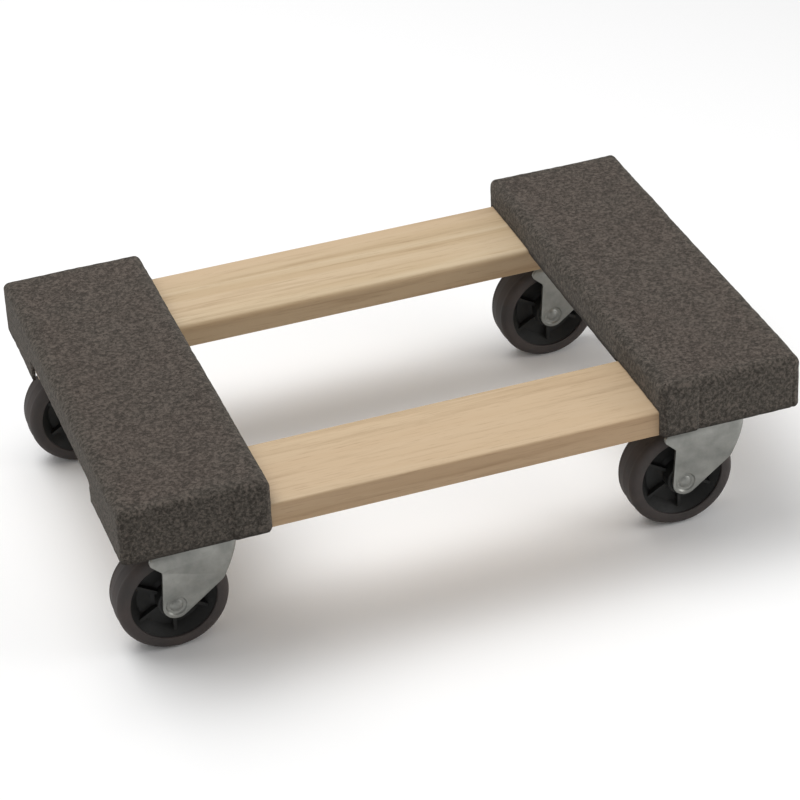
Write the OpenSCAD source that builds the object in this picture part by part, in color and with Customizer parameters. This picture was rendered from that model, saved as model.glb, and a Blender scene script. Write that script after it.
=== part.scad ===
// Furniture dolly: two hardwood rails, two carpeted end boards, four swivel casters.
// Millimetres. Origin on the floor under the middle of the deck, +X along the rails, +Z up.
// Every caster trails towards -X.

/* [Deck] */
// Length over the carpet, along the rails
deck_length = 457; // [360:1:760]
// Width over the carpet, across the rails
deck_width = 311; // [240:1:520]
// Width of each rail
rail_width = 73; // [58:1:100]
// Thickness of each rail
rail_thick = 17.5; // [12:0.5:30]
// Width of each end board, along the rails
board_width = 90; // [70:1:140]
// Thickness of each end board
board_thick = 16; // [12:0.5:28]
// Radius on the rails' outer top edges
rail_edge_outer = 2.5; // [1:0.5:5]
// Radius on the rails' inner top edges, where hands take hold
rail_edge_inner = 5; // [1:0.5:8]
// Radius on the edges of the end boards
board_edge = 2; // [0.5:0.5:4]

/* [Carpet] */
// Thickness of the carpet
carpet_thick = 3; // [1.5:0.5:6]
// Radius of the soft upper edges of each covered end
carpet_edge = 5; // [3:0.5:8]
// Radius of the corners of each covered end, seen from above
carpet_corner = 3.5; // [2:0.5:10]
// Width of the flap turned under each end board
carpet_flap = 18; // [10:1:30]

/* [Caster plate] */
// Distance of the swivel axes from the middle of the covered ends, towards the deck's middle
caster_inboard = 5; // [-8:0.5:10]
// Distance of the swivel axes from the rails' centre lines, outwards
caster_outboard = 2.5; // [-3:0.5:3]
// Length of the top plate, along the rails
plate_length = 84; // [76:1:90]
// Width of the top plate, across the rails
plate_width = 60; // [54:1:66]
// Radius of the plate's corners
plate_corner = 8; // [4:1:12]
// Spacing of the plate's slots, along the rails
slot_spacing_x = 66; // [60:1:70]
// Spacing of the plate's slots, across the rails
slot_spacing_y = 44; // [40:1:46]
// Width of each slot
slot_width = 7; // [6:0.5:8.5]
// Length of each slot, end to end
slot_length = 11; // [9:0.5:14]
// Thickness of the pressed steel of plate and fork
steel_thick = 2.3; // [1.8:0.1:3]

/* [Swivel bearing] */
// Diameter of the upper balls
upper_ball_d = 4.8; // [4:0.1:6]
// Radius of the upper ball track
upper_track_r = 14.5; // [13:0.5:18]
// Number of upper balls
upper_balls_n = 17; // [8:1:18]
// Diameter of the lower balls
lower_ball_d = 4; // [3:0.1:4.8]
// Radius of the lower ball track
lower_track_r = 9.6; // [9:0.1:11]
// Number of lower balls
lower_balls_n = 13; // [6:1:14]
// Diameter of the kingpin
kingpin_d = 9; // [7:0.5:10]
// Depth of the dish that takes the kingpin's head
kingpin_dish = 1.6; // [1:0.1:2.2]
// Thickness of the lower race
race_thick = 1.8; // [1.2:0.1:2.4]

/* [Fork] */
// Trail, from the swivel axis back to the axle
trail = 18.5; // [12:0.5:24]
// Gap between the inner faces of the legs
fork_gap = 32.4; // [30:0.2:44]
// Reach of the fork ahead of the swivel axis
fork_front = 26; // [22:0.5:30]
// Radius of the fork's upright front corners
fork_corner = 9; // [5:0.5:12]
// Radius of the shoulder where legs bend into the crown
shoulder_r = 10; // [6:0.5:12]
// Radius of the round lower end of each leg
lug_r = 9; // [8:0.5:12]
// Depth of the crown's front lip
front_lip = 5; // [4:0.5:12]
// Distance of the bend in each leg's front edge behind the fork's front
brow_back = 12; // [9:0.5:14]
// Drop from the crown to that bend
brow_drop = 30; // [24:0.5:32]
// Reach of the ears behind the swivel axis
ear_reach = 33; // [31:0.5:36]
// Drop from the crown to the middle of the ears' round tips
ear_drop = 8; // [6:0.5:10]
// Depth of the dimple pressed into each leg round the axle
dimple_depth = 1; // [0.4:0.1:1.2]
// Radius of that dimple
dimple_r = 6.2; // [5.6:0.1:7.2]

/* [Wheel] */
// Diameter of the wheel over the tread
wheel_d = 75; // [62:0.5:100]
// Width of the tread
tread_width = 25; // [20:0.5:28]
// Radius of the tread's shoulders
tread_edge = 5; // [2:0.5:7]
// Rise of the crowned tread at its middle
tread_crown = 0.6; // [0.2:0.1:1.2]
// Thickness of the rubber tyre, at its middle
tyre_thick = 6.5; // [5:0.5:11]
// Thickness of the wheel's web
web_thick = 7; // [4:0.5:12]
// Radius of the wheel's hub
hub_r = 11; // [9.5:0.5:14]
// Number of ribs on each side of the web
rib_count = 6; // [3:1:10]
// Diameter of the axle rivet
axle_d = 7; // [6:0.5:9]
// Wall of the axle sleeve
sleeve_wall = 2; // [1:0.1:3]
// Gap between the top of the wheel and the underside of the crown
wheel_gap = 3.5; // [2:0.5:8]

/* [Fits] */
// Running clearance, on the radius, of the wheel on its sleeve
run_fit = 0.06; // [0.02:0.01:0.1]
// Clearance of fixed pins and screws in their holes
pin_fit = 0.03; // [0.02:0.01:0.1]
// Clearance between the balls and their tracks
ball_fit = 0.05; // [0.02:0.01:0.1]
// End play of the hub between the legs, each side
end_play = 0.4; // [0.2:0.1:1]

/* [Screws] */
// Diameter of the screws that hold the casters
lag_d = 5.6; // [4.5:0.1:6]
// Height of their hexagon heads
lag_head = 3.6; // [3:0.1:4.5]
// Length of those screws under the head
lag_length = 22; // [16:0.5:28]
// Diameter of the screws that hold the end boards
joint_screw_d = 4.4; // [3.5:0.1:5]
// Length of those screws
joint_screw_length = 30; // [24:0.5:32]

/* [Hidden] */
$fn = 96;
lap = 1;

// Swivel stack, worked upwards from the floor
wheel_r = wheel_d / 2;
crown_z = wheel_d + wheel_gap + steel_thick;
ball_seat = 0.7;
lower_seat = 0.6;
boss_rise = 4;
boss_edge = 1;
boss_margin = 1.1;
boss_z = crown_z + boss_rise;
plate_bottom_z = boss_z + upper_ball_d - 2 * ball_seat;
plate_z = plate_bottom_z + steel_thick;
boss_under_z = boss_z - steel_thick;
boss_r = upper_track_r + upper_ball_d / 2 + boss_margin;
race_z = boss_under_z - lower_ball_d + 2 * lower_seat;
race_edge = 1;
race_wall = 1.4;
race_lip = 1.2;
race_r = lower_track_r + lower_ball_d / 2 + race_wall + lower_seat;
kingpin_r = kingpin_d / 2;
kingpin_head_r = 8;
kingpin_edge = 0.5;
kingpin_flare = 1.9;
kingpin_tail_r = kingpin_r + kingpin_flare;
kingpin_tail = 1.3;
kingpin_room = 0.6;
dish_room = 0.6;
dish_slope = 0.3;

// Fork
fork_half = fork_gap / 2 + steel_thick;
fork_rear = -max(trail + lug_r, ear_reach);
fork_span = fork_front - fork_rear + 2 * lap;
crown_tail = 5;
crown_rear = -max(boss_r, trail) - crown_tail;
bend_r = shoulder_r - steel_thick;
lug_at = [-trail, wheel_r];
brow_at = [fork_front - brow_back, crown_z - brow_drop];
brow_r = 9;
lip_at = [fork_front, crown_z - front_lip];
lip_r = 12;
ear_tip_r = 2.5;
ear_at = [ear_tip_r - ear_reach, crown_z - ear_drop];
neck_at = [crown_rear - 2, crown_z - 2 * ear_drop];
neck_r = 2.5;
dimple_slope = 0.8;
axle_r = axle_d / 2;
sleeve_r = axle_r + pin_fit + sleeve_wall;
sleeve_half = fork_gap / 2 - dimple_depth;
rivet_brim = 0.9;
rivet_head_r = axle_r + rivet_brim;
rivet_head = 1.6;

// Wheel
hub_half = sleeve_half - end_play;
hub_edge = 1;
hub_foot = 3;
tread_half = tread_width / 2;
tyre_lip = 2.5;
tyre_cheek = 2;
rim_r = wheel_r - tyre_thick;
rim_half = tread_half - tyre_cheek;
rim_in = rim_r - tyre_lip;
rim_slope = 6;
rib_thick = 2.4;
rib_sink = 3;

// Deck
rail_z = plate_z;
board_z = rail_z + rail_thick;
board_top_z = board_z + board_thick;
deck_z = board_top_z + carpet_thick;
frame_x = deck_length / 2 - carpet_thick;
frame_y = deck_width / 2 - carpet_thick;
rail_y = frame_y - rail_width / 2;
gap_y = frame_y - rail_width;
rail_edge_under = 1;
board_x = frame_x - board_width / 2;
caster_x = board_x - caster_inboard;
caster_y = rail_y + caster_outboard;
lag_r = lag_d / 2;
lag_tip_r = 0.6;
lag_grip = 2.2;
lag_head_r = slot_width / 2 + lag_grip;
lag_washer = 1;
lag_washer_r = lag_head_r + lag_washer;
joint_r = joint_screw_d / 2;
joint_head_r = joint_screw_d;
joint_head = joint_head_r - joint_r;
joint_dx = board_width / 5;
joint_dy = rail_width / 4;
staple_span = 11;
staple_wire = 0.6;
staple_leg = 8;
staple_inset = 12;
staples_n = 7;

wood = [0.80, 0.68, 0.52];
zinc = [0.60, 0.61, 0.59];
steel = [0.70, 0.71, 0.72];
carpet_brown = [0.30, 0.27, 0.24];
tyre_grey = [0.16, 0.15, 0.14];
core_black = [0.07, 0.08, 0.07];

// ---- plain helpers -------------------------------------------------------------

// Rectangle from (x0, y0) to (x1, y1) with its four corners rounded to radii r
module round_rect(x0, y0, x1, y1, r) {
  corners = [[x0, y0, 1, 1], [x1, y0, -1, 1], [x1, y1, -1, -1], [x0, y1, 1, -1]];
  difference() {
    translate([x0, y0]) square([x1 - x0, y1 - y0]);
    for (i = [0:3]) {
      c = corners[i];
      if (r[i] > 0) {
        difference() {
          translate([c[0] - (c[2] > 0 ? lap : r[i]), c[1] - (c[3] > 0 ? lap : r[i])])
            square(r[i] + lap);
          translate([c[0] + c[2] * r[i], c[1] + c[3] * r[i]]) circle(r[i]);
        }
      }
    }
  }
}

// Extrude a profile drawn in (x, z) along Y, centred
module along_y(length) {
  rotate([90, 0, 0]) linear_extrude(length, center = true) children();
}

// Extrude a profile drawn in (y, z) along X, centred
module along_x(length) {
  rotate([90, 0, 90]) linear_extrude(length, center = true) children();
}

// Point where the line from p touches the circle (c, r), on its left (1) or right (-1)
function touch(p, c, r, hand) =
  let (d = p - c, turn = atan2(d[1], d[0]) + hand * acos(r / norm(d)))
  c + r * [cos(turn), sin(turn)];

// The bit between a corner at p, with edges towards a and b, and the arc r that rounds it
module corner_bit(p, a, b, r) {
  u = (a - p) / norm(a - p);
  v = (b - p) / norm(b - p);
  half = acos(u * v) / 2;
  run = r / tan(half);
  middle = (u + v) / norm(u + v);
  difference() {
    polygon([p - lap * middle, p + run * u, p + run * v]);
    translate(p + middle * r / sin(half)) circle(r);
  }
}

// Places of the four lag screws round a swivel axis
module at_slots() {
  for (sx = [-1, 1], sy = [-1, 1])
    translate([sx * slot_spacing_x / 2, sy * slot_spacing_y / 2]) children();
}

// Places of the screws through one end board, side = -1 or 1
module at_joint_screws(side) {
  for (sy = [-1, 1], dx = [-1, 1], dy = [-1, 1])
    translate([side * board_x + dx * joint_dx, sy * rail_y + dy * joint_dy]) children();
}

// ---- deck ----------------------------------------------------------------------

module joint_screw() {
  translate([0, 0, board_top_z]) rotate_extrude()
    polygon([
      [0, 0], [joint_head_r, 0], [joint_r, -joint_head],
      [joint_r, -joint_screw_length + joint_r], [0, -joint_screw_length]
    ]);
}

module joint_screw_hole() {
  translate([0, 0, board_top_z]) rotate_extrude()
    polygon([
      [0, lap], [joint_head_r + pin_fit, lap], [joint_head_r + pin_fit, 0],
      [joint_r + pin_fit, -joint_head], [joint_r + pin_fit, -joint_screw_length + joint_r],
      [0, -joint_screw_length - pin_fit]
    ]);
}

module rail(side) {
  outer = side * frame_y;
  inner = side * (frame_y - rail_width);
  low = min(outer, inner);
  high = max(outer, inner);
  top_radii = side > 0 ? [rail_edge_outer, rail_edge_inner] : [rail_edge_inner, rail_edge_outer];
  color(wood) difference() {
    along_x(2 * frame_x)
      round_rect(low, rail_z, high, board_z,
        [rail_edge_under, rail_edge_under, top_radii[0], top_radii[1]]);
    for (sx = [-1, 1]) {
      at_joint_screws(sx) joint_screw_hole();
      translate([sx * caster_x, side * caster_y, rail_z - lap])
        at_slots() cylinder(h = lag_length - steel_thick + lap + pin_fit, r = lag_r + pin_fit);
    }
  }
}

module end_board(side) {
  color(wood) difference() {
    along_y(2 * frame_y)
      round_rect(side * board_x - board_width / 2, board_z, side * board_x + board_width / 2,
        board_top_z, [0, 0, board_edge, board_edge]);
    at_joint_screws(side) joint_screw_hole();
    for (sy = [-1, 1])
      translate([side * caster_x, sy * caster_y, rail_z - lap])
        at_slots() cylinder(h = lag_length - steel_thick + lap + pin_fit, r = lag_r + pin_fit);
  }
}

module joint_screws(side) {
  color(steel) at_joint_screws(side) joint_screw();
}

// The cover goes over the end board, down the outsides of both rails and under the board
module carpet(side) {
  inner_x = board_x - board_width / 2;
  outer_x = frame_x;
  low_x = inner_x - carpet_thick;
  high_x = outer_x + carpet_thick;
  mirror([side < 0 ? 1 : 0, 0, 0]) color(carpet_brown) difference() {
    intersection() {
      along_y(deck_width)
        round_rect(low_x, rail_z, high_x, deck_z, [0, carpet_corner, carpet_edge, carpet_edge]);
      along_x(deck_length)
        round_rect(-deck_width / 2, rail_z, deck_width / 2, deck_z, [0, 0, carpet_edge, carpet_edge]);
      translate([0, 0, rail_z]) linear_extrude(deck_z - rail_z)
        round_rect(low_x, -deck_width / 2, high_x, deck_width / 2,
          [carpet_corner, carpet_corner, carpet_corner, carpet_corner]);
    }
    // the end board
    translate([inner_x, -frame_y, board_z]) cube([board_width, 2 * frame_y, board_thick]);
    // the rails, which run out under the inner edge
    for (sy = [-1, 1])
      translate([low_x - lap, sy * rail_y - rail_width / 2, rail_z - lap])
        cube([outer_x - low_x + lap, rail_width, rail_thick + lap]);
    // the open space between the rails, below the flaps
    translate([low_x - lap, -gap_y, rail_z - lap])
      cube([high_x - low_x + 2 * lap, 2 * gap_y, rail_thick - carpet_thick + lap]);
    // between the two flaps
    translate([low_x + carpet_flap, -gap_y, rail_z - lap])
      cube([high_x - low_x - 2 * carpet_flap, 2 * gap_y, rail_thick + 2 * lap]);
  }
}

// Crown staples that hold the flaps up under the end board
module carpet_staples(side) {
  reach = gap_y - staple_inset;
  pitch = 2 * reach / (staples_n - 1);
  flap_x = board_width / 2 + carpet_thick - carpet_flap / 2;
  color(steel) for (edge = [-1, 1], i = [0:staples_n - 1])
    translate([side * board_x + edge * flap_x, i * pitch - reach, board_z - carpet_thick])
      staple();
}

module staple() {
  translate([-staple_wire / 2, -staple_span / 2, -staple_wire])
    cube([staple_wire, staple_span, staple_wire]);
  for (sy = [-1, 1])
    translate([-staple_wire / 2, sy * (staple_span - staple_wire) / 2 - staple_wire / 2, -staple_wire])
      cube([staple_wire, staple_wire, staple_leg]);
}

// ---- caster, fixed half --------------------------------------------------------

module plate_outline() {
  corner = [plate_corner, plate_corner, plate_corner, plate_corner];
  round_rect(-plate_length / 2, -plate_width / 2, plate_length / 2, plate_width / 2, corner);
}

module slot() {
  run = (slot_length - slot_width) / 2;
  for (s = [-1, 1]) translate([s * run, 0]) circle(slot_width / 2);
  square([2 * run, slot_width], center = true);
}

// Pressed plate: flat flange, dished middle for the kingpin's head, ball track below
module top_plate() {
  dish_r = kingpin_head_r + dish_room;
  dish_top_r = dish_r + dish_slope * kingpin_dish;
  color(zinc) difference() {
    union() {
      translate([0, 0, plate_bottom_z]) linear_extrude(steel_thick) difference() {
        plate_outline();
        at_slots() slot();
      }
      translate([0, 0, plate_bottom_z]) rotate_extrude()
        polygon([
          [0, -kingpin_dish], [dish_r, -kingpin_dish],
          [dish_r + kingpin_dish, 0], [dish_r + kingpin_dish, lap], [0, lap]
        ]);
    }
    translate([0, 0, plate_z]) rotate_extrude()
      polygon([
        [0, lap], [dish_top_r, lap], [dish_top_r, 0],
        [dish_r - dish_slope, -kingpin_dish], [0, -kingpin_dish]
      ]);
    translate([0, 0, plate_bottom_z - kingpin_dish - lap])
      cylinder(h = steel_thick + 2 * lap + kingpin_dish, r = kingpin_r + pin_fit);
    translate([0, 0, upper_ball_z()]) ball_track(upper_track_r, upper_ball_d);
  }
}

function upper_ball_z() = boss_z - ball_seat + upper_ball_d / 2;
function lower_ball_z() = boss_under_z + lower_seat - lower_ball_d / 2;

module ball_track(r, d) {
  rotate_extrude() translate([r, 0]) circle(d / 2 + ball_fit);
}

module ball_ring(r, d, n) {
  for (i = [0:n - 1]) rotate([0, 0, i * 360 / n]) translate([r, 0, 0]) sphere(d / 2);
}

module upper_balls() {
  color(steel) translate([0, 0, upper_ball_z()]) ball_ring(upper_track_r, upper_ball_d, upper_balls_n);
}

module lower_balls() {
  color(steel) translate([0, 0, lower_ball_z()]) ball_ring(lower_track_r, lower_ball_d, lower_balls_n);
}

// Retaining cup below the lower balls, clenched to the kingpin
module lower_race() {
  color(zinc) translate([0, 0, race_z]) difference() {
    rotate_extrude() polygon([
      [kingpin_r + pin_fit, -race_thick], [race_r - race_edge, -race_thick],
      [race_r, race_edge - race_thick], [race_r, race_lip], [race_r - race_edge, race_lip],
      [race_r - race_wall, 0], [kingpin_r + pin_fit, 0]
    ]);
    translate([0, 0, lower_ball_z() - race_z]) ball_track(lower_track_r, lower_ball_d);
  }
}

// Rivet with a flat head in the plate's dish and a clenched tail under the lower race
module kingpin() {
  tail_z = race_z - race_thick;
  color(steel) rotate_extrude() polygon([
    [0, tail_z - kingpin_tail], [kingpin_tail_r - kingpin_edge, tail_z - kingpin_tail],
    [kingpin_tail_r, tail_z - kingpin_tail + kingpin_edge], [kingpin_tail_r, tail_z],
    [kingpin_r, tail_z], [kingpin_r, plate_z - kingpin_dish],
    [kingpin_head_r, plate_z - kingpin_dish], [kingpin_head_r, plate_z - kingpin_edge],
    [kingpin_head_r - kingpin_edge, plate_z], [0, plate_z]
  ]);
}

module lag_screws() {
  color(steel) at_slots() translate([0, 0, plate_bottom_z]) {
    translate([0, 0, -lag_washer]) cylinder(h = lag_washer, r = lag_washer_r);
    translate([0, 0, -lag_head])
      cylinder(h = lag_head - lag_washer / 2, r = lag_head_r, $fn = 6);
    translate([0, 0, -lag_washer]) cylinder(h = lag_length - lag_r + lag_washer, r = lag_r);
    translate([0, 0, lag_length - lag_r]) cylinder(h = lag_r, r1 = lag_r, r2 = lag_tip_r);
  }
}

// ---- caster, swivelling half ---------------------------------------------------

// Plan of the fork, open towards the rear; inset moves it inwards by one wall
module fork_plan(inset) {
  half = fork_half - inset;
  r = fork_corner - inset;
  round_rect(fork_rear - 2 * lap, -half, fork_front - inset, half, [0, r, r, 0]);
}

// Arch of the fork seen from the front
module fork_arch(inset, low) {
  half = fork_half - inset;
  r = shoulder_r - inset;
  round_rect(-half, low, half, crown_z - inset, [0, 0, r, r]);
}

// Crown of the fork seen from the side, with its front bent down
module fork_brow(inset, low) {
  r = shoulder_r - inset;
  round_rect(fork_rear - 2 * lap, low, fork_front - inset, crown_z - inset, [0, 0, r, 0]);
}

// Blank of the fork seen from the side: round lug at the axle, front edge bent at the brow,
// rear edge running up to a neck and then out along a round ear
module fork_side() {
  lug_front = touch(brow_at, lug_at, lug_r, -1);
  lug_rear = touch(neck_at, lug_at, lug_r, 1);
  ear_top = touch([crown_rear, crown_z], ear_at, ear_tip_r, 1);
  ear_under = touch(neck_at, ear_at, ear_tip_r, -1);
  difference() {
    union() {
      translate(lug_at) circle(lug_r);
      translate(ear_at) circle(ear_tip_r);
      polygon([
        lug_rear, lug_at, lug_front, brow_at, lip_at, [fork_front, crown_z],
        [crown_rear, crown_z], ear_top, ear_at, ear_under, neck_at
      ]);
      corner_bit(neck_at, ear_under, lug_rear, neck_r);
    }
    corner_bit(brow_at, lip_at, lug_front, brow_r);
    corner_bit(lip_at, brow_at, [fork_front, crown_z], lip_r);
  }
}

// Outer form of the fork before it is hollowed
module fork_form() {
  intersection() {
    linear_extrude(crown_z) fork_plan(0);
    along_x(2 * fork_span) fork_arch(0, 0);
    along_y(2 * fork_half) fork_brow(0, 0);
    along_y(2 * fork_half) fork_side();
  }
}

// Inside of the pressing, one wall in from the outer form, open below and behind
module fork_hollow() {
  intersection() {
    translate([0, 0, -lap]) linear_extrude(crown_z) fork_plan(steel_thick);
    along_x(2 * fork_span) fork_arch(steel_thick, -lap);
    along_y(2 * fork_half) fork_brow(steel_thick, -lap);
  }
}

// Raised round crown that carries both ball tracks
module crown_boss(inset, low) {
  translate([0, 0, low]) rotate_extrude() polygon([
    [0, 0], [boss_r - inset, 0], [boss_r - inset, boss_z - inset - low - boss_edge],
    [boss_r - inset - boss_edge, boss_z - inset - low], [0, boss_z - inset - low]
  ]);
}

// Both dimples stand inwards as far as they are pressed
module fork_dimples(low, high, grow) {
  for (s = [-1, 1])
    translate([-trail, s * high, wheel_r]) rotate([s * 90, 0, 0])
      cylinder(h = high - low, r1 = dimple_r + grow + (high - low) * dimple_slope, r2 = dimple_r + grow);
}

module fork() {
  color(zinc) difference() {
    union() {
      difference() {
        union() {
          fork_form();
          intersection() {
            crown_boss(0, crown_z - shoulder_r);
            linear_extrude(boss_z + lap) fork_plan(0);
          }
        }
        fork_hollow();
        crown_boss(steel_thick, crown_z - shoulder_r - lap);
      }
      fork_dimples(sleeve_half, fork_gap / 2, 1);
    }
    fork_dimples(fork_half - dimple_depth, fork_half + lap, 0);
    translate([-trail, 0, wheel_r]) rotate([90, 0, 0])
      cylinder(h = 2 * fork_half + 2 * lap, r = axle_r + pin_fit, center = true);
    translate([0, 0, boss_under_z - lap])
      cylinder(h = steel_thick + 2 * lap, r = kingpin_r + kingpin_room);
    translate([0, 0, upper_ball_z()]) ball_track(upper_track_r, upper_ball_d);
    translate([0, 0, lower_ball_z()]) ball_track(lower_track_r, lower_ball_d);
  }
}

// Solid rivet through both legs, its domed heads sitting in the dimples
module axle() {
  seat = fork_half - dimple_depth;
  color(steel) translate([-trail, 0, wheel_r]) rotate([90, 0, 0]) {
    cylinder(h = 2 * seat + rivet_head, r = axle_r, center = true);
    for (s = [0, 180]) rotate([s, 0, 0]) translate([0, 0, seat]) rivet_dome();
  }
}

// Low dome: the cap of a ball that is rivet_head high and rivet_head_r wide
module rivet_dome() {
  ball_r = (rivet_head_r * rivet_head_r + rivet_head * rivet_head) / (2 * rivet_head);
  intersection() {
    translate([0, 0, rivet_head - ball_r]) sphere(ball_r);
    cylinder(h = rivet_head + lap, r = rivet_head_r);
  }
}

module axle_sleeve() {
  color(steel) translate([-trail, 0, wheel_r]) rotate([90, 0, 0]) difference() {
    cylinder(h = 2 * (sleeve_half - pin_fit), r = sleeve_r, center = true);
    cylinder(h = 2 * sleeve_half + lap, r = axle_r + pin_fit, center = true);
  }
}

// ---- wheel ---------------------------------------------------------------------

// Moulded core: hub, web, rim with a dished inner slope, and ribs on both sides
module wheel_core() {
  web = web_thick / 2;
  bore = sleeve_r + run_fit;
  web_r = rim_in - rim_slope;
  color(core_black) translate([-trail, 0, wheel_r]) rotate([90, 0, 0]) {
    rotate_extrude() polygon([
      [bore, -hub_half], [hub_r - hub_edge, -hub_half], [hub_r, hub_edge - hub_half],
      [hub_r, -web - hub_edge], [hub_r + hub_foot, -web], [web_r, -web], [rim_in, -rim_half],
      [rim_r, -rim_half], [rim_r, rim_half], [rim_in, rim_half], [web_r, web],
      [hub_r + hub_foot, web], [hub_r, web + hub_edge], [hub_r, hub_half - hub_edge],
      [hub_r - hub_edge, hub_half], [bore, hub_half]
    ]);
    for (i = [0:rib_count - 1]) rotate([0, 0, (i + 0.5) * 360 / rib_count])
      translate([(hub_r + rim_in) / 2, 0, 0])
        cube([rim_in - hub_r + lap, rib_thick, 2 * (rim_half - rib_sink)], center = true);
  }
}

// Rubber tyre with a crowned tread, rounded shoulders and cheeks that hold the rim
module tyre() {
  crown_ball = (tread_half * tread_half + tread_crown * tread_crown) / (2 * tread_crown);
  color(tyre_grey) translate([-trail, 0, wheel_r]) rotate([90, 0, 0])
    rotate_extrude() difference() {
      intersection() {
        round_rect(rim_in, -tread_half, wheel_r, tread_half,
          [hub_edge, tread_edge, tread_edge, hub_edge]);
        translate([wheel_r - crown_ball, 0]) circle(crown_ball, $fn = 360);
      }
      translate([rim_in - lap, -rim_half]) square([rim_r - rim_in + lap, 2 * rim_half]);
    }
}

// ---- the four casters ----------------------------------------------------------

module at_caster(sx, sy) {
  translate([sx * caster_x, sy * caster_y, 0]) children();
}

rail(-1);  // rail_front
rail(1);  // rail_back
end_board(-1);  // end_board_left
end_board(1);  // end_board_right
carpet(-1);  // carpet_left
carpet(1);  // carpet_right
joint_screws(-1);  // joint_screws_left
joint_screws(1);  // joint_screws_right
carpet_staples(-1);  // carpet_staples_left
carpet_staples(1);  // carpet_staples_right

at_caster(-1, -1) top_plate();  // top_plate_front_left
at_caster(1, -1) top_plate();  // top_plate_front_right
at_caster(-1, 1) top_plate();  // top_plate_back_left
at_caster(1, 1) top_plate();  // top_plate_back_right
at_caster(-1, -1) lag_screws();  // lag_screws_front_left
at_caster(1, -1) lag_screws();  // lag_screws_front_right
at_caster(-1, 1) lag_screws();  // lag_screws_back_left
at_caster(1, 1) lag_screws();  // lag_screws_back_right
at_caster(-1, -1) kingpin();  // kingpin_front_left
at_caster(1, -1) kingpin();  // kingpin_front_right
at_caster(-1, 1) kingpin();  // kingpin_back_left
at_caster(1, 1) kingpin();  // kingpin_back_right
at_caster(-1, -1) upper_balls();  // upper_balls_front_left
at_caster(1, -1) upper_balls();  // upper_balls_front_right
at_caster(-1, 1) upper_balls();  // upper_balls_back_left
at_caster(1, 1) upper_balls();  // upper_balls_back_right
at_caster(-1, -1) lower_balls();  // lower_balls_front_left
at_caster(1, -1) lower_balls();  // lower_balls_front_right
at_caster(-1, 1) lower_balls();  // lower_balls_back_left
at_caster(1, 1) lower_balls();  // lower_balls_back_right
at_caster(-1, -1) lower_race();  // lower_race_front_left
at_caster(1, -1) lower_race();  // lower_race_front_right
at_caster(-1, 1) lower_race();  // lower_race_back_left
at_caster(1, 1) lower_race();  // lower_race_back_right
at_caster(-1, -1) fork();  // fork_front_left
at_caster(1, -1) fork();  // fork_front_right
at_caster(-1, 1) fork();  // fork_back_left
at_caster(1, 1) fork();  // fork_back_right
at_caster(-1, -1) axle();  // axle_front_left
at_caster(1, -1) axle();  // axle_front_right
at_caster(-1, 1) axle();  // axle_back_left
at_caster(1, 1) axle();  // axle_back_right
at_caster(-1, -1) axle_sleeve();  // axle_sleeve_front_left
at_caster(1, -1) axle_sleeve();  // axle_sleeve_front_right
at_caster(-1, 1) axle_sleeve();  // axle_sleeve_back_left
at_caster(1, 1) axle_sleeve();  // axle_sleeve_back_right
at_caster(-1, -1) wheel_core();  // wheel_core_front_left
at_caster(1, -1) wheel_core();  // wheel_core_front_right
at_caster(-1, 1) wheel_core();  // wheel_core_back_left
at_caster(1, 1) wheel_core();  // wheel_core_back_right
at_caster(-1, -1) tyre();  // tyre_front_left
at_caster(1, -1) tyre();  // tyre_front_right
at_caster(-1, 1) tyre();  // tyre_back_left
at_caster(1, 1) tyre();  // tyre_back_right
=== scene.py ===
import math

import bmesh
import bpy
from mathutils import Matrix, Vector, noise


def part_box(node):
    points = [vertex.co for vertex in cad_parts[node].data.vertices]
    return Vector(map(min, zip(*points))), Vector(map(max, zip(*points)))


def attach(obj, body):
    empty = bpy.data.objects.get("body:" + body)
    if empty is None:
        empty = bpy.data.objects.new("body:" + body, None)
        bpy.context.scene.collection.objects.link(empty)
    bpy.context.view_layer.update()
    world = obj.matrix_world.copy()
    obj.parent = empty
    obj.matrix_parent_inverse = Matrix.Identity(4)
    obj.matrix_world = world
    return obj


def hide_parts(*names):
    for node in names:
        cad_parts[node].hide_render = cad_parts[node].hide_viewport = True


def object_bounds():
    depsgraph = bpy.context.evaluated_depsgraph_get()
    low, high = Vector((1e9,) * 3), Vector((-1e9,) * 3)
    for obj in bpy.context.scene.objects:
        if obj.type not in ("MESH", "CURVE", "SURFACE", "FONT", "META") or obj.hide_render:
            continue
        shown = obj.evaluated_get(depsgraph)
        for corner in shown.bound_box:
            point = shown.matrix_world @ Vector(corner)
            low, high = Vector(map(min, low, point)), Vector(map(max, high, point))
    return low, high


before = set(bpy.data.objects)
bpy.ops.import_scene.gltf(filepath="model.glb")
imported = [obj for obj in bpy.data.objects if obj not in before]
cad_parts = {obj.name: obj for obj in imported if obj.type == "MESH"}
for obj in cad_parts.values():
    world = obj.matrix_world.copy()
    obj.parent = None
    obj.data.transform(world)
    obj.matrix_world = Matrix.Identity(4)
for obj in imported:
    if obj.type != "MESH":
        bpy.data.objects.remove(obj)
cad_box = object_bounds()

# ---- View ----------------------------------------------------------------------
# A camera on a tall stand in front of the dolly, a little to its left, looking down on it.

VIEW_TURN = math.radians(-17.547)
VIEW_TILT = math.radians(32.244)
VIEW_ROLL = math.radians(-3.344)
VIEW_DISTANCE = 2.007
VIEW_SHIFT = Vector((0.00807, -0.05413))
LENS = 134.65

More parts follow.
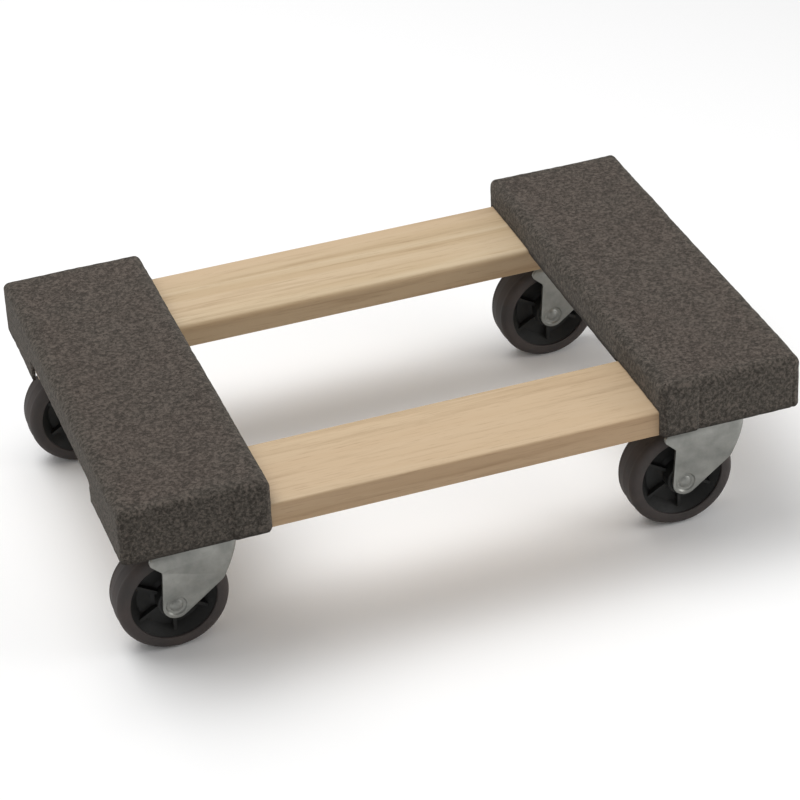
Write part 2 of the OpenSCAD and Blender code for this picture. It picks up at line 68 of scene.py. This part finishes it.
deck_top = cad_box[1][2]
back = Vector((math.sin(VIEW_TURN) * math.cos(VIEW_TILT),
               -math.cos(VIEW_TURN) * math.cos(VIEW_TILT),
               math.sin(VIEW_TILT)))
level = Vector((0, 0, 1)).cross(back).normalized()
upright = back.cross(level)
right = level * math.cos(VIEW_ROLL) + upright * math.sin(VIEW_ROLL)
up = upright * math.cos(VIEW_ROLL) - level * math.sin(VIEW_ROLL)
stand = back * VIEW_DISTANCE + right * VIEW_SHIFT.x + up * VIEW_SHIFT.y + Vector((0, 0, deck_top))

camera = bpy.data.objects.new("camera", bpy.data.cameras.new("camera"))
camera.data.lens = LENS
camera.matrix_world = Matrix.Translation(stand) @ Matrix((right, up, back)).transposed().to_4x4()
bpy.context.scene.collection.objects.link(camera)
bpy.context.scene.camera = camera
bpy.context.scene.view_settings.view_transform = "Standard"

# ---- Floor and light -----------------------------------------------------------
# A pale studio floor under one big soft box, with a softer one at the side and an even sky.

FLOOR_SIZE = 12.0
FLOOR_WHITE = 0.94
SKY_STRENGTH = 0.46


def new_finish(name, roughness, metallic=0.0):
    """A material, with the tree and the shader that its colours and bumps go into."""
    finish = bpy.data.materials.new(name)
    finish.use_nodes = True
    shader = finish.node_tree.nodes["Principled BSDF"]
    shader.inputs["Roughness"].default_value = roughness
    shader.inputs["Metallic"].default_value = metallic
    return finish, finish.node_tree, shader


def new_piece(name, bm):
    """An object made from a bmesh, standing where its mesh says."""
    mesh = bpy.data.meshes.new(name)
    bm.to_mesh(mesh)
    bm.free()
    piece = bpy.data.objects.new(name, mesh)
    bpy.context.scene.collection.objects.link(piece)
    return piece


def soft_box(name, place, aim, width, watts):
    """A square studio light that faces a point."""
    lamp = bpy.data.lights.new(name, "AREA")
    lamp.size = width
    lamp.energy = watts
    box = bpy.data.objects.new(name, lamp)
    box.location = place
    box.rotation_euler = (Vector(place) - Vector(aim)).to_track_quat("Z", "Y").to_euler()
    bpy.context.scene.collection.objects.link(box)


floor_mesh = bmesh.new()
bmesh.ops.create_grid(floor_mesh, x_segments=1, y_segments=1, size=FLOOR_SIZE / 2)
floor = new_piece("floor", floor_mesh)
floor_paint, floor_tree, floor_shader = new_finish("floor_paint", roughness=0.7)
floor_shader.inputs["Base Color"].default_value = (FLOOR_WHITE, FLOOR_WHITE, FLOOR_WHITE, 1)
floor.data.materials.append(floor_paint)

soft_box("key_light", place=(-0.5, 0.5, 1.9), aim=(0, 0, 0.1), width=1.5, watts=31)
soft_box("side_light", place=(0.9, -0.5, 0.4), aim=(0.2, -0.1, 0.1), width=0.6, watts=3.4)
sky = bpy.data.worlds.new("studio_sky")
sky.use_nodes = True
sky.node_tree.nodes["Background"].inputs["Color"].default_value = (1.0, 1.0, 1.0, 1)
sky.node_tree.nodes["Background"].inputs["Strength"].default_value = SKY_STRENGTH
bpy.context.scene.world = sky

# ---- Side rails ----------------------------------------------------------------
# Two planed hardwood slats that carry the whole dolly. Their grain runs from end to end,
# and their upper edges are rounded over for the hands.

RAIL_PALE = (198, 178, 147)
RAIL_TAN = (186, 163, 129)
RAIL_PINK = (194, 168, 136)
RAIL_DARK = (138, 110, 76)
# Tint multiplied into faces that look along Y: painted shade on the rails, end grain on the boards.
SIDE_SHADE_AND_END_GRAIN = (225, 216, 206)


def paint(colour):
    """A colour given as it looks on a screen, as the shader's own linear one."""
    linear = []
    for channel in colour:
        share = channel / 255
        linear.append(share / 12.92 if share < 0.04045 else ((share + 0.055) / 1.055) ** 2.4)
    return (*linear, 1)


def add(tree, kind, inputs=None, **settings):
    """A new node with its settings and the values of its inputs."""
    node = tree.nodes.new("ShaderNode" + kind)
    for name, value in settings.items():
        setattr(node, name, value)
    for name, value in (inputs or {}).items():
        node.inputs[name].default_value = value
    return node


def place(tree, scale=(1, 1, 1), location=(0, 0, 0)):
    """Object coordinates, stretched and moved: the output that a texture reads."""
    where = add(tree, "TexCoord")
    mapping = add(tree, "Mapping", {"Scale": scale, "Location": location})
    tree.links.new(where.outputs["Object"], mapping.inputs["Vector"])
    return mapping.outputs["Vector"]


def cloud(tree, where, scale, detail=3.0, roughness=0.5, distortion=0.0):
    """A noise pattern read at a place."""
    pattern = add(tree, "TexNoise", {"Scale": scale, "Detail": detail, "Roughness": roughness,
                                     "Distortion": distortion})
    tree.links.new(where, pattern.inputs["Vector"])
    return pattern.outputs["Fac"]


def ramp(tree, source, stops):
    """Turns a pattern into colours, or greys given as single numbers, at given steps."""
    node = add(tree, "ValToRGB")
    for step, (position, colour) in enumerate(stops):
        grey = isinstance(colour, (int, float))
        point = node.color_ramp.elements[step] if step < 2 else node.color_ramp.elements.new(position)
        point.position = position
        point.color = (colour, colour, colour, 1) if grey else paint(colour)
    tree.links.new(source, node.inputs["Fac"])
    return node.outputs["Color"]


def mix(tree, share, first, second, blend="MIX"):
    """Mixes two colours by a pattern, or by a fixed share."""
    node = add(tree, "Mix", data_type="RGBA", blend_type=blend)
    sockets = (node.inputs[0], node.inputs[6], node.inputs[7])
    for socket, value in zip(sockets, (share, first, second)):
        if isinstance(value, bpy.types.NodeSocket):
            tree.links.new(value, socket)
        elif isinstance(value, (int, float)):
            socket.default_value = value
        else:
            socket.default_value = paint(value)
    return node.outputs[2]


def bump(tree, shader, height, depth, strength=1.0):
    """Presses a pattern into a surface, depth metres deep."""
    node = add(tree, "Bump", {"Strength": strength, "Distance": depth})
    tree.links.new(height, node.inputs["Height"])
    tree.links.new(node.outputs["Normal"], shader.inputs["Normal"])


def hardwood(name, pale, tan, pink, dark, across, shift):
    """Planed timber, browner on the faces that look along Y: painted shade on the front and back faces of
    the rails, end grain on the ends of the boards. across is the pattern's fineness along X, Y and Z; the
    grain is long where that number is small."""
    timber, tree, shader = new_finish(name, roughness=0.55)
    board = place(tree, scale=across, location=shift)
    bands = cloud(tree, board, scale=1.0, detail=2.0, distortion=1.2)
    streaks = cloud(tree, board, scale=5.0, detail=5.0, roughness=0.6, distortion=0.4)
    pores = cloud(tree, board, scale=26.0, detail=3.0, roughness=0.7)
    blush = cloud(tree, board, scale=0.45, detail=1.0)
    colour = ramp(tree, bands, [(0.35, tan), (0.5, pale), (0.66, tan)])
    colour = mix(tree, ramp(tree, blush, [(0.42, 0.0), (0.66, 0.75)]), colour, pink)
    colour = mix(tree, ramp(tree, streaks, [(0.52, 0.0), (0.8, 0.55)]), colour, dark)
    colour = mix(tree, ramp(tree, pores, [(0.56, 0.0), (0.74, 0.45)]), colour, dark)
    # Faces that look along Y are darkened and browned: painted shade on the rails' front and back faces,
    # end grain on the boards' ends.
    facing = add(tree, "SeparateXYZ")
    tree.links.new(add(tree, "NewGeometry").outputs["Normal"], facing.inputs["Vector"])
    sideways = add(tree, "Math", operation="ABSOLUTE")
    tree.links.new(facing.outputs["Y"], sideways.inputs[0])
    side_shade_and_end_grain = ramp(tree, sideways.outputs["Value"], [(0.45, 0.0), (0.9, 1.0)])
    colour = mix(tree, side_shade_and_end_grain, colour, mix(tree, 1.0, colour, SIDE_SHADE_AND_END_GRAIN, blend="MULTIPLY"))
    tree.links.new(colour, shader.inputs["Base Color"])
    gloss = ramp(tree, streaks, [(0.3, 0.48), (0.7, 0.66)])
    tree.links.new(gloss, shader.inputs["Roughness"])
    bump(tree, shader, mix(tree, 0.5, pores, streaks), depth=0.0004, strength=0.35)
    return timber


def dress(node, finish):
    """Gives a CAD node its finish."""
    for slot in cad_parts[node].material_slots:
        slot.material = finish


rail_wood = hardwood("rail_hardwood", RAIL_PALE, RAIL_TAN, RAIL_PINK, RAIL_DARK,
                     across=(1.6, 34, 34), shift=(0.3, 0.0, 0.0))
dress("rail_front", rail_wood)
dress("rail_back", rail_wood)

# ---- End boards ----------------------------------------------------------------
# Two boards laid across the rails and screwed down on them. The carpet hides them from
# above; their undersides show between the rails, rougher and duller than the rails.

BOARD_PALE = (206, 182, 146)
BOARD_TAN = (184, 156, 118)
BOARD_PINK = (188, 150, 116)
BOARD_DARK = (132, 100, 68)

board_wood = hardwood("board_softwood", BOARD_PALE, BOARD_TAN, BOARD_PINK, BOARD_DARK,
                      across=(30, 1.8, 30), shift=(0.0, 0.7, 0.2))
dress("end_board_left", board_wood)
dress("end_board_right", board_wood)

# ---- Screws of the end boards --------------------------------------------------
# Countersunk wood screws through the boards into the rails, under the carpet.


def metal(name, dark, light, roughness, grain=900.0, depth=0.00004):
    """Plated or ground steel: faint cloudy tone, fine tooth and uneven gloss."""
    plating, tree, shader = new_finish(name, roughness, metallic=1.0)
    surface = place(tree)
    tone = cloud(tree, surface, scale=70.0, detail=4.0, roughness=0.6)
    tooth = cloud(tree, surface, scale=grain, detail=2.0)
    tree.links.new(ramp(tree, tone, [(0.3, dark), (0.7, light)]), shader.inputs["Base Color"])
    low, high = roughness * 0.8, min(1.0, roughness * 1.25)
    tree.links.new(ramp(tree, tone, [(0.3, high), (0.7, low)]), shader.inputs["Roughness"])
    bump(tree, shader, tooth, depth, strength=0.5)
    return plating


screw_steel = metal("screw_steel", (150, 146, 134), (186, 182, 168), roughness=0.38)
for side in ("left", "right"):
    dress(f"joint_screws_{side}", screw_steel)

# ---- Carpet covers -------------------------------------------------------------
# Needle-punched felt carpet in dark heather, wrapped round each end board like a parcel.
# It hangs down over the rail ends, where the inner side laps over the end and the outer
# side meets it in a seam. Between the rails it is turned under and stapled.

CARPET_MID = (73, 65, 59)
CARPET_GREY = (70, 67, 61)
CARPET_DARK = (42, 37, 33)
CARPET_PALE = (98, 89, 82)
CARPET_FLECK = (122, 112, 104)
# Near-black for the bottom edges: the backing there with painted shade, and a painted contact shadow
# along the rail.
BACKING_AND_SHADE = (17, 13, 9)
CARPET_SHEEN = (150, 145, 138)
EDGE_RADIUS = 0.0042
CORNER_RADIUS = 0.0035
FOLD_RADIUS = 0.003
FLAP = 0.018
LAP = 0.024
LAP_STEP = 0.0008
SEAM_INSET = 0.0045
SEAM_DEPTH = 0.0007
SEAM_WIDTH = 0.0011
GRID = 0.0025
PILE = 0.0003
PILE_SCALE = 260
WAVES = 0.0004
WAVE_SCALE = 22
STAND = 0.0014
HEM_SHADE_HEIGHT = 0.0034
WEAR_WIDTH = 0.012
TOP_WEAR = 0.9
SIDE_WEAR = 0.85
TOP_BAND = 0.002
SEAM_FADE = 0.01
WOOD_CLEARANCE = 0.0004
SAME = 1e-6
NEAR = 1e-4
MERGE = 1e-5


def carpet_felt():
    """Heathered felt: brown and grey fibres matted together, with dark and pale flecks, and near-black in
    a band along the bottom edges: the dark backing along the cut edges together with painted shade, and a
    painted contact shadow where the carpet meets the rail."""
    felt, tree, shader = new_finish("carpet_felt", roughness=0.95)
    shader.inputs["Specular IOR Level"].default_value = 0.15
    shader.inputs["Sheen Weight"].default_value = 0.25
    shader.inputs["Sheen Roughness"].default_value = 0.6
    shader.inputs["Sheen Tint"].default_value = paint(CARPET_SHEEN)
    surface = place(tree)
    patches = cloud(tree, surface, scale=28.0, detail=3.0, roughness=0.6)
    clumps = cloud(tree, surface, scale=440.0, detail=3.0, roughness=0.7, distortion=0.5)
    fibres = cloud(tree, surface, scale=1000.0, detail=3.0, roughness=0.8, distortion=2.5)
    edge = add(tree, "Attribute", attribute_name="edge").outputs["Fac"]
    hem_shade = add(tree, "Attribute", attribute_name="hem_shade").outputs["Fac"]
    colour = mix(tree, ramp(tree, patches, [(0.40, 0.0), (0.70, 0.45)]), CARPET_MID, CARPET_GREY)
    colour = mix(tree, edge, colour, CARPET_GREY)
    colour = mix(tree, ramp(tree, clumps, [(0.38, 0.85), (0.52, 0.0)]), colour, CARPET_DARK)
    colour = mix(tree, ramp(tree, clumps, [(0.50, 0.0), (0.62, 0.85)]), colour, CARPET_PALE)
    colour = mix(tree, ramp(tree, fibres, [(0.30, 0.7), (0.46, 0.0)]), colour, CARPET_DARK)
    colour = mix(tree, ramp(tree, fibres, [(0.58, 0.0), (0.78, 0.6)]), colour, CARPET_FLECK)
    # Near-black band: backing and painted shade at the bottom edges, a painted contact shadow along the
    # rail.
    colour = mix(tree, hem_shade, colour, BACKING_AND_SHADE)
    tree.links.new(colour, shader.inputs["Base Color"])
    bump(tree, shader, mix(tree, 0.55, clumps, fibres), depth=0.0008, strength=0.8)
    return felt


def cut(bm, axis, position, faces=None):
    """Cuts a mesh, or only some of its faces, by a plane across an axis."""
    point = [0, 0, 0]
    point[axis] = position
    normal = [0, 0, 0]
    normal[axis] = 1
    geom = bm.verts[:] + bm.edges[:] + bm.faces[:]
    if faces is not None:
        geom = list({v for f in faces for v in f.verts} | {e for f in faces for e in f.edges}) + faces
    bmesh.ops.bisect_plane(bm, geom=geom, dist=SAME, plane_co=point, plane_no=normal)


def carpet_cover(side, felt):
    """The cover of one end: a box open below, cut out round the rails, with both long hems
    turned under, then given its pile, lap and seam."""
    low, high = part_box(f"carpet_{side}")
    board_low, board_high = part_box(f"end_board_{side}")
    rail_low, rail_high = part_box("rail_front")
    thick = high.z - board_high.z
    gap = -rail_high.y
    turn = board_low.z - thick
    outward = -1 if side == "left" else 1
    inner_x = low.x if side == "right" else high.x
    outer_x = high.x if side == "right" else low.x
    lap_x = inner_x + outward * LAP
    seam_x = outer_x - outward * SEAM_INSET
    middle = (low + high) / 2

    bm = bmesh.new()
    bmesh.ops.create_cube(bm, size=1, matrix=Matrix.Translation(middle)
                          @ Matrix.Diagonal((*(high - low), 1)))
    under = [f for f in bm.faces if f.normal.z < -0.5]
    bmesh.ops.delete(bm, geom=under, context="FACES")
    corners = [e for e in bm.edges if abs(e.verts[0].co.z - e.verts[1].co.z) > 0.01]
    bmesh.ops.bevel(bm, geom=corners, offset=CORNER_RADIUS, segments=5, profile=0.5,
                    affect="EDGES", material=-1)
    rim = [e for e in bm.edges
           if not e.is_boundary and all(abs(v.co.z - high.z) < SAME for v in e.verts)]
    bmesh.ops.bevel(bm, geom=rim, offset=EDGE_RADIUS, segments=5, profile=0.5,
                    affect="EDGES", material=-1)

    for axis, position in ((1, -gap), (1, gap), (2, turn), (2, rail_high.z)):
        cut(bm, axis, position)
    gone = []
    for face in bm.faces:
        spot = face.calc_center_median()
        if face.normal.z > 0.5:
            continue
        between = abs(spot.y) < gap and spot.z < turn
        inner = abs(spot.x - inner_x) < CORNER_RADIUS and spot.z < rail_high.z
        over_rail = inner and gap < abs(spot.y) < -rail_low.y
        if between or over_rail:
            gone.append(face)
    bmesh.ops.delete(bm, geom=gone, context="FACES")

    for wall_x, inward in ((inner_x, outward), (outer_x, -outward)):
        folds = [e for e in bm.edges if e.is_boundary
                 and all(abs(v.co.z - turn) < SAME and abs(v.co.x - wall_x) < SAME for v in e.verts)]
        turned = bmesh.ops.extrude_edge_only(bm, edges=folds)["geom"]
        moved = [v for v in turned if isinstance(v, bmesh.types.BMVert)]
        bmesh.ops.translate(bm, verts=moved, vec=(inward * FLAP, 0, 0))
        bmesh.ops.bevel(bm, geom=folds, offset=FOLD_RADIUS, segments=4, profile=0.5,
                        affect="EDGES", material=-1)
    for axis in range(3):
        count = round((high[axis] - low[axis]) / GRID)
        for step in range(1, count):
            cut(bm, axis, low[axis] + (high[axis] - low[axis]) * step / count)
    for line in (lap_x, seam_x):
        for shift in (-SEAM_WIDTH, 0, SEAM_WIDTH):
            ends = [f for f in bm.faces if abs(f.calc_center_median().y) > high.y - NEAR]
            cut(bm, 0, line + shift, ends)
    bmesh.ops.remove_doubles(bm, verts=bm.verts, dist=MERGE)
    bmesh.ops.recalc_face_normals(bm, faces=bm.faces)
    top = [f for f in bm.faces if f.calc_center_median().z > high.z - NEAR]
    if top and top[0].normal.z < 0:
        bmesh.ops.reverse_faces(bm, faces=bm.faces)

    bm.normal_update()
    edge = bm.verts.layers.float.new("edge")
    hem_shade = bm.verts.layers.float.new("hem_shade")
    for v in bm.verts:
        spot = v.co.copy()
        reach = min(spot.x - low.x, high.x - spot.x, spot.y - low.y, high.y - spot.y)
        on_top = spot.z > high.z - TOP_BAND
        v[edge] = max(0.0, TOP_WEAR - reach / WEAR_WIDTH) if on_top else SIDE_WEAR
        # Band above the bottom edge painted near-black as backing and shade; on the inner wall above the
        # rail it is a painted contact shadow.
        bottom = rail_high.z if abs(spot.x - inner_x) < NEAR else low.z
        v[hem_shade] = max(0.0, min(1.0, 1.0 - (spot.z - bottom) / HEM_SHADE_HEIGHT))
        waves = noise.noise(spot * WAVE_SCALE + Vector((3, 7, 1)))
        lumps = noise.noise(spot * PILE_SCALE) + 0.6 * noise.noise(spot * (2 * PILE_SCALE))
        lift = STAND + WAVES * waves + PILE * lumps
        if abs(v.normal.y) > 0.9:
            fade = min(1.0, (high.z - spot.z) / SEAM_FADE)
            over = (lap_x - spot.x) * outward
            lift += LAP_STEP * fade * max(0.0, min(1.0, over / SEAM_WIDTH + 0.5))
            for line in (lap_x + outward * SEAM_WIDTH, seam_x):
                lift -= SEAM_DEPTH * fade * max(0.0, 1 - abs(spot.x - line) / SEAM_WIDTH)
        v.co += v.normal * lift

    cover = new_piece(f"carpet_cover_{side}", bm)
    cover.data.polygons.foreach_set("use_smooth", [True] * len(cover.data.polygons))
    cover.data.materials.append(felt)
    wall = cover.modifiers.new("thickness", "SOLIDIFY")
    wall.thickness = thick - WOOD_CLEARANCE
    wall.offset = -1
    round_off = cover.modifiers.new("round", "SUBSURF")
    round_off.levels = 1
    round_off.render_levels = 1
    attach(cover, "deck")
    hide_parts(f"carpet_{side}")


felt = carpet_felt()
for side in ("left", "right"):
    carpet_cover(side, felt)

# ---- Staples -------------------------------------------------------------------
# Crown staples of bright wire, shot up through the turned edge of the carpet.

staple_wire = metal("staple_wire", (168, 166, 160), (206, 204, 198), roughness=0.3)
for side in ("left", "right"):
    dress(f"carpet_staples_{side}", staple_wire)

# ---- Caster plates and lag screws ----------------------------------------------
# Each caster hangs from a pressed, zinc-plated plate. Four hexagon-head screws with
# pressed washers go up through its slots into the wood.

CORNERS = [f"{end}_{side}" for end in ("front", "back") for side in ("left", "right")]
zinc_plate = metal("zinc_plate", (130, 131, 127), (152, 152, 147), roughness=0.46)
for corner in CORNERS:
    dress(f"top_plate_{corner}", zinc_plate)
    dress(f"lag_screws_{corner}", screw_steel)

# ---- Swivel bearings -----------------------------------------------------------
# A kingpin rivet clamps plate, two rings of hardened balls and a retaining race round
# the fork's crown, so that the fork swings freely under the plate.

ball_steel = metal("ball_steel", (170, 172, 174), (214, 215, 216), roughness=0.16, depth=0.00001)
for corner in CORNERS:
    dress(f"kingpin_{corner}", screw_steel)
    dress(f"lower_race_{corner}", zinc_plate)
    dress(f"upper_balls_{corner}", ball_steel)
    dress(f"lower_balls_{corner}", ball_steel)

# ---- Forks ---------------------------------------------------------------------
# One pressing of zinc-plated sheet: crown with a raised ball seat, two swept legs with
# ears behind, and a shallow dimple round each end of the axle. The press rounds the cut
# edges a little, and most along the rear of each leg.

FORK_EDGE = 0.0004
FORK_REAR_EDGE = 0.0014
SHOULDER_DROP = 0.026
CROWN_DEPTH = 0.014
FLAT_ANGLE = math.radians(0.6)
SHARP_ANGLE = math.radians(50)
SHADE_ANGLE = math.radians(40)


def fork_pressing(corner):
    """The CAD fork with the edges below its crown rounded, the outer rear ones most."""
    node = f"fork_{corner}"
    low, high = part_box(node)
    axle_low, axle_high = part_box(f"axle_{corner}")
    bm = bmesh.new()
    bm.from_mesh(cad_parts[node].data)
    bmesh.ops.remove_doubles(bm, verts=bm.verts, dist=SAME)
    bmesh.ops.dissolve_limit(bm, angle_limit=FLAT_ANGLE, verts=bm.verts, edges=bm.edges)

    def sharp_edges():
        return [e for e in bm.edges if e.is_manifold and e.calc_face_angle() > SHARP_ANGLE]

    def outside(e):
        return all(v.co.y < low.y + NEAR or v.co.y > high.y - NEAR for v in e.verts)

    axle_x = (axle_low.x + axle_high.x) / 2
    rear = [e for e in sharp_edges() if outside(e)
            and all(v.co.x < axle_x and axle_low.z < v.co.z < high.z - SHOULDER_DROP for v in e.verts)]
    bmesh.ops.bevel(bm, geom=rear, offset=FORK_REAR_EDGE, segments=4, profile=0.5,
                    affect="EDGES", material=-1, clamp_overlap=True)
    rest = [e for e in sharp_edges() if all(v.co.z < high.z - CROWN_DEPTH for v in e.verts)]
    bmesh.ops.bevel(bm, geom=rest, offset=FORK_EDGE, segments=2, profile=0.5,
                    affect="EDGES", material=-1, clamp_overlap=True)
    fork = new_piece(f"fork_pressing_{corner}", bm)
    fork.data.polygons.foreach_set("use_smooth", [True] * len(fork.data.polygons))
    fork.data.set_sharp_from_angle(angle=SHADE_ANGLE)
    fork.data.materials.append(zinc_plate)
    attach(fork, f"caster_{corner}")
    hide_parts(node)


for corner in CORNERS:
    fork_pressing(corner)

# ---- Axles ---------------------------------------------------------------------
# A solid rivet with domed heads through both legs, and the steel sleeve that the
# wheel turns on.

for corner in CORNERS:
    dress(f"axle_{corner}", zinc_plate)
    dress(f"axle_sleeve_{corner}", screw_steel)

# ---- Wheel cores ---------------------------------------------------------------
# Moulded black plastic, coloured darker than the tyre as painted shade in the wheel's recess: hub, web
# with ribs on both sides, and the rim that holds the tyre.


def moulded(name, dark, light, roughness, scale, depth):
    """Plastic or rubber out of a mould: near-even tone, a fine texture, handling marks."""
    resin, tree, shader = new_finish(name, roughness)
    surface = place(tree)
    tone = cloud(tree, surface, scale=scale, detail=4.0, roughness=0.65)
    grain = cloud(tree, surface, scale=1400.0, detail=2.0)
    tree.links.new(ramp(tree, tone, [(0.35, dark), (0.68, light)]), shader.inputs["Base Color"])
    tree.links.new(ramp(tree, tone, [(0.3, roughness * 0.85), (0.7, min(1.0, roughness * 1.15))]),
                   shader.inputs["Roughness"])
    bump(tree, shader, grain, depth, strength=0.6)
    return resin


# Near-black core colours: black plastic, darkened further as painted shade for the wheel's recess.
CORE_LOW_SHADED_BLACK = (14, 14, 12)
CORE_HIGH_SHADED_BLACK = (20, 20, 17)

shaded_core_plastic = moulded("shaded_core_plastic", CORE_LOW_SHADED_BLACK, CORE_HIGH_SHADED_BLACK, roughness=0.7, scale=60.0,
                       depth=0.00006)
for corner in CORNERS:
    dress(f"wheel_core_{corner}", shaded_core_plastic)

# ---- Tyres ---------------------------------------------------------------------
# Dark grey rubber moulded on the core, with a crowned tread, round shoulders and the
# fine line where the two halves of the mould met.

TYRE_LIP = 0.0025
TYRE_CHEEK = 0.002
TREAD_EDGE = 0.005
TREAD_CROWN = 0.0006
MOULD_LINE = 0.00025
MOULD_LINE_WIDTH = 0.0006
CHEEK_EDGE = 0.0008
TREAD_CUTS = 11
TYRE_STEPS = 120

tyre_rubber = moulded("tyre_rubber", (48, 43, 41), (68, 60, 57), roughness=0.75, scale=45.0, depth=0.0001)


def tyre_ring(corner):
    """Rubber ring: a section with rounded shoulders, spun round the axle."""
    node = f"tyre_{corner}"
    low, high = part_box(node)
    core_low, core_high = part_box(f"wheel_core_{corner}")
    centre = (low + high) / 2
    outer = (high.z - low.z) / 2 - MOULD_LINE
    seat = (core_high.z - core_low.z) / 2
    lip = seat - TYRE_LIP
    half = (high.y - low.y) / 2
    seat_half = half - TYRE_CHEEK
    bm = bmesh.new()
    section = [bm.verts.new((radius, across, 0)) for radius, across in (
        (outer, -half), (outer, half), (lip, half), (lip, seat_half),
        (seat, seat_half), (seat, -seat_half), (lip, -seat_half), (lip, -half))]
    for start, end in zip(section, section[1:] + section[:1]):
        bm.edges.new((start, end))
    cheeks = [section[2], section[7]]
    bmesh.ops.bevel(bm, geom=section[:2], offset=TREAD_EDGE, segments=6, profile=0.5,
                    affect="VERTICES", material=-1)
    bmesh.ops.bevel(bm, geom=cheeks, offset=CHEEK_EDGE, segments=3, profile=0.5,
                    affect="VERTICES", material=-1)
    tread = [e for e in bm.edges if all(v.co.x > outer - SAME for v in e.verts)]
    bmesh.ops.subdivide_edges(bm, edges=tread, cuts=TREAD_CUTS)
    for v in bm.verts:
        if v.co.x > outer - SAME:
            v.co.x -= TREAD_CROWN * (v.co.y / (half - TREAD_EDGE)) ** 2
            if abs(v.co.y) < MOULD_LINE_WIDTH:
                v.co.x += MOULD_LINE
    bmesh.ops.spin(bm, geom=bm.verts[:] + bm.edges[:], cent=(0, 0, 0), axis=(0, 1, 0), dvec=(0, 0, 0),
                   angle=math.tau, steps=TYRE_STEPS, use_merge=True)
    bmesh.ops.recalc_face_normals(bm, faces=bm.faces)
    bmesh.ops.translate(bm, verts=bm.verts, vec=centre)
    tyre = new_piece(f"tyre_ring_{corner}", bm)
    tyre.data.polygons.foreach_set("use_smooth", [True] * len(tyre.data.polygons))
    tyre.data.materials.append(tyre_rubber)
    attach(tyre, f"wheel_{corner}")
    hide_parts(node)


for corner in CORNERS:
    tyre_ring(corner)
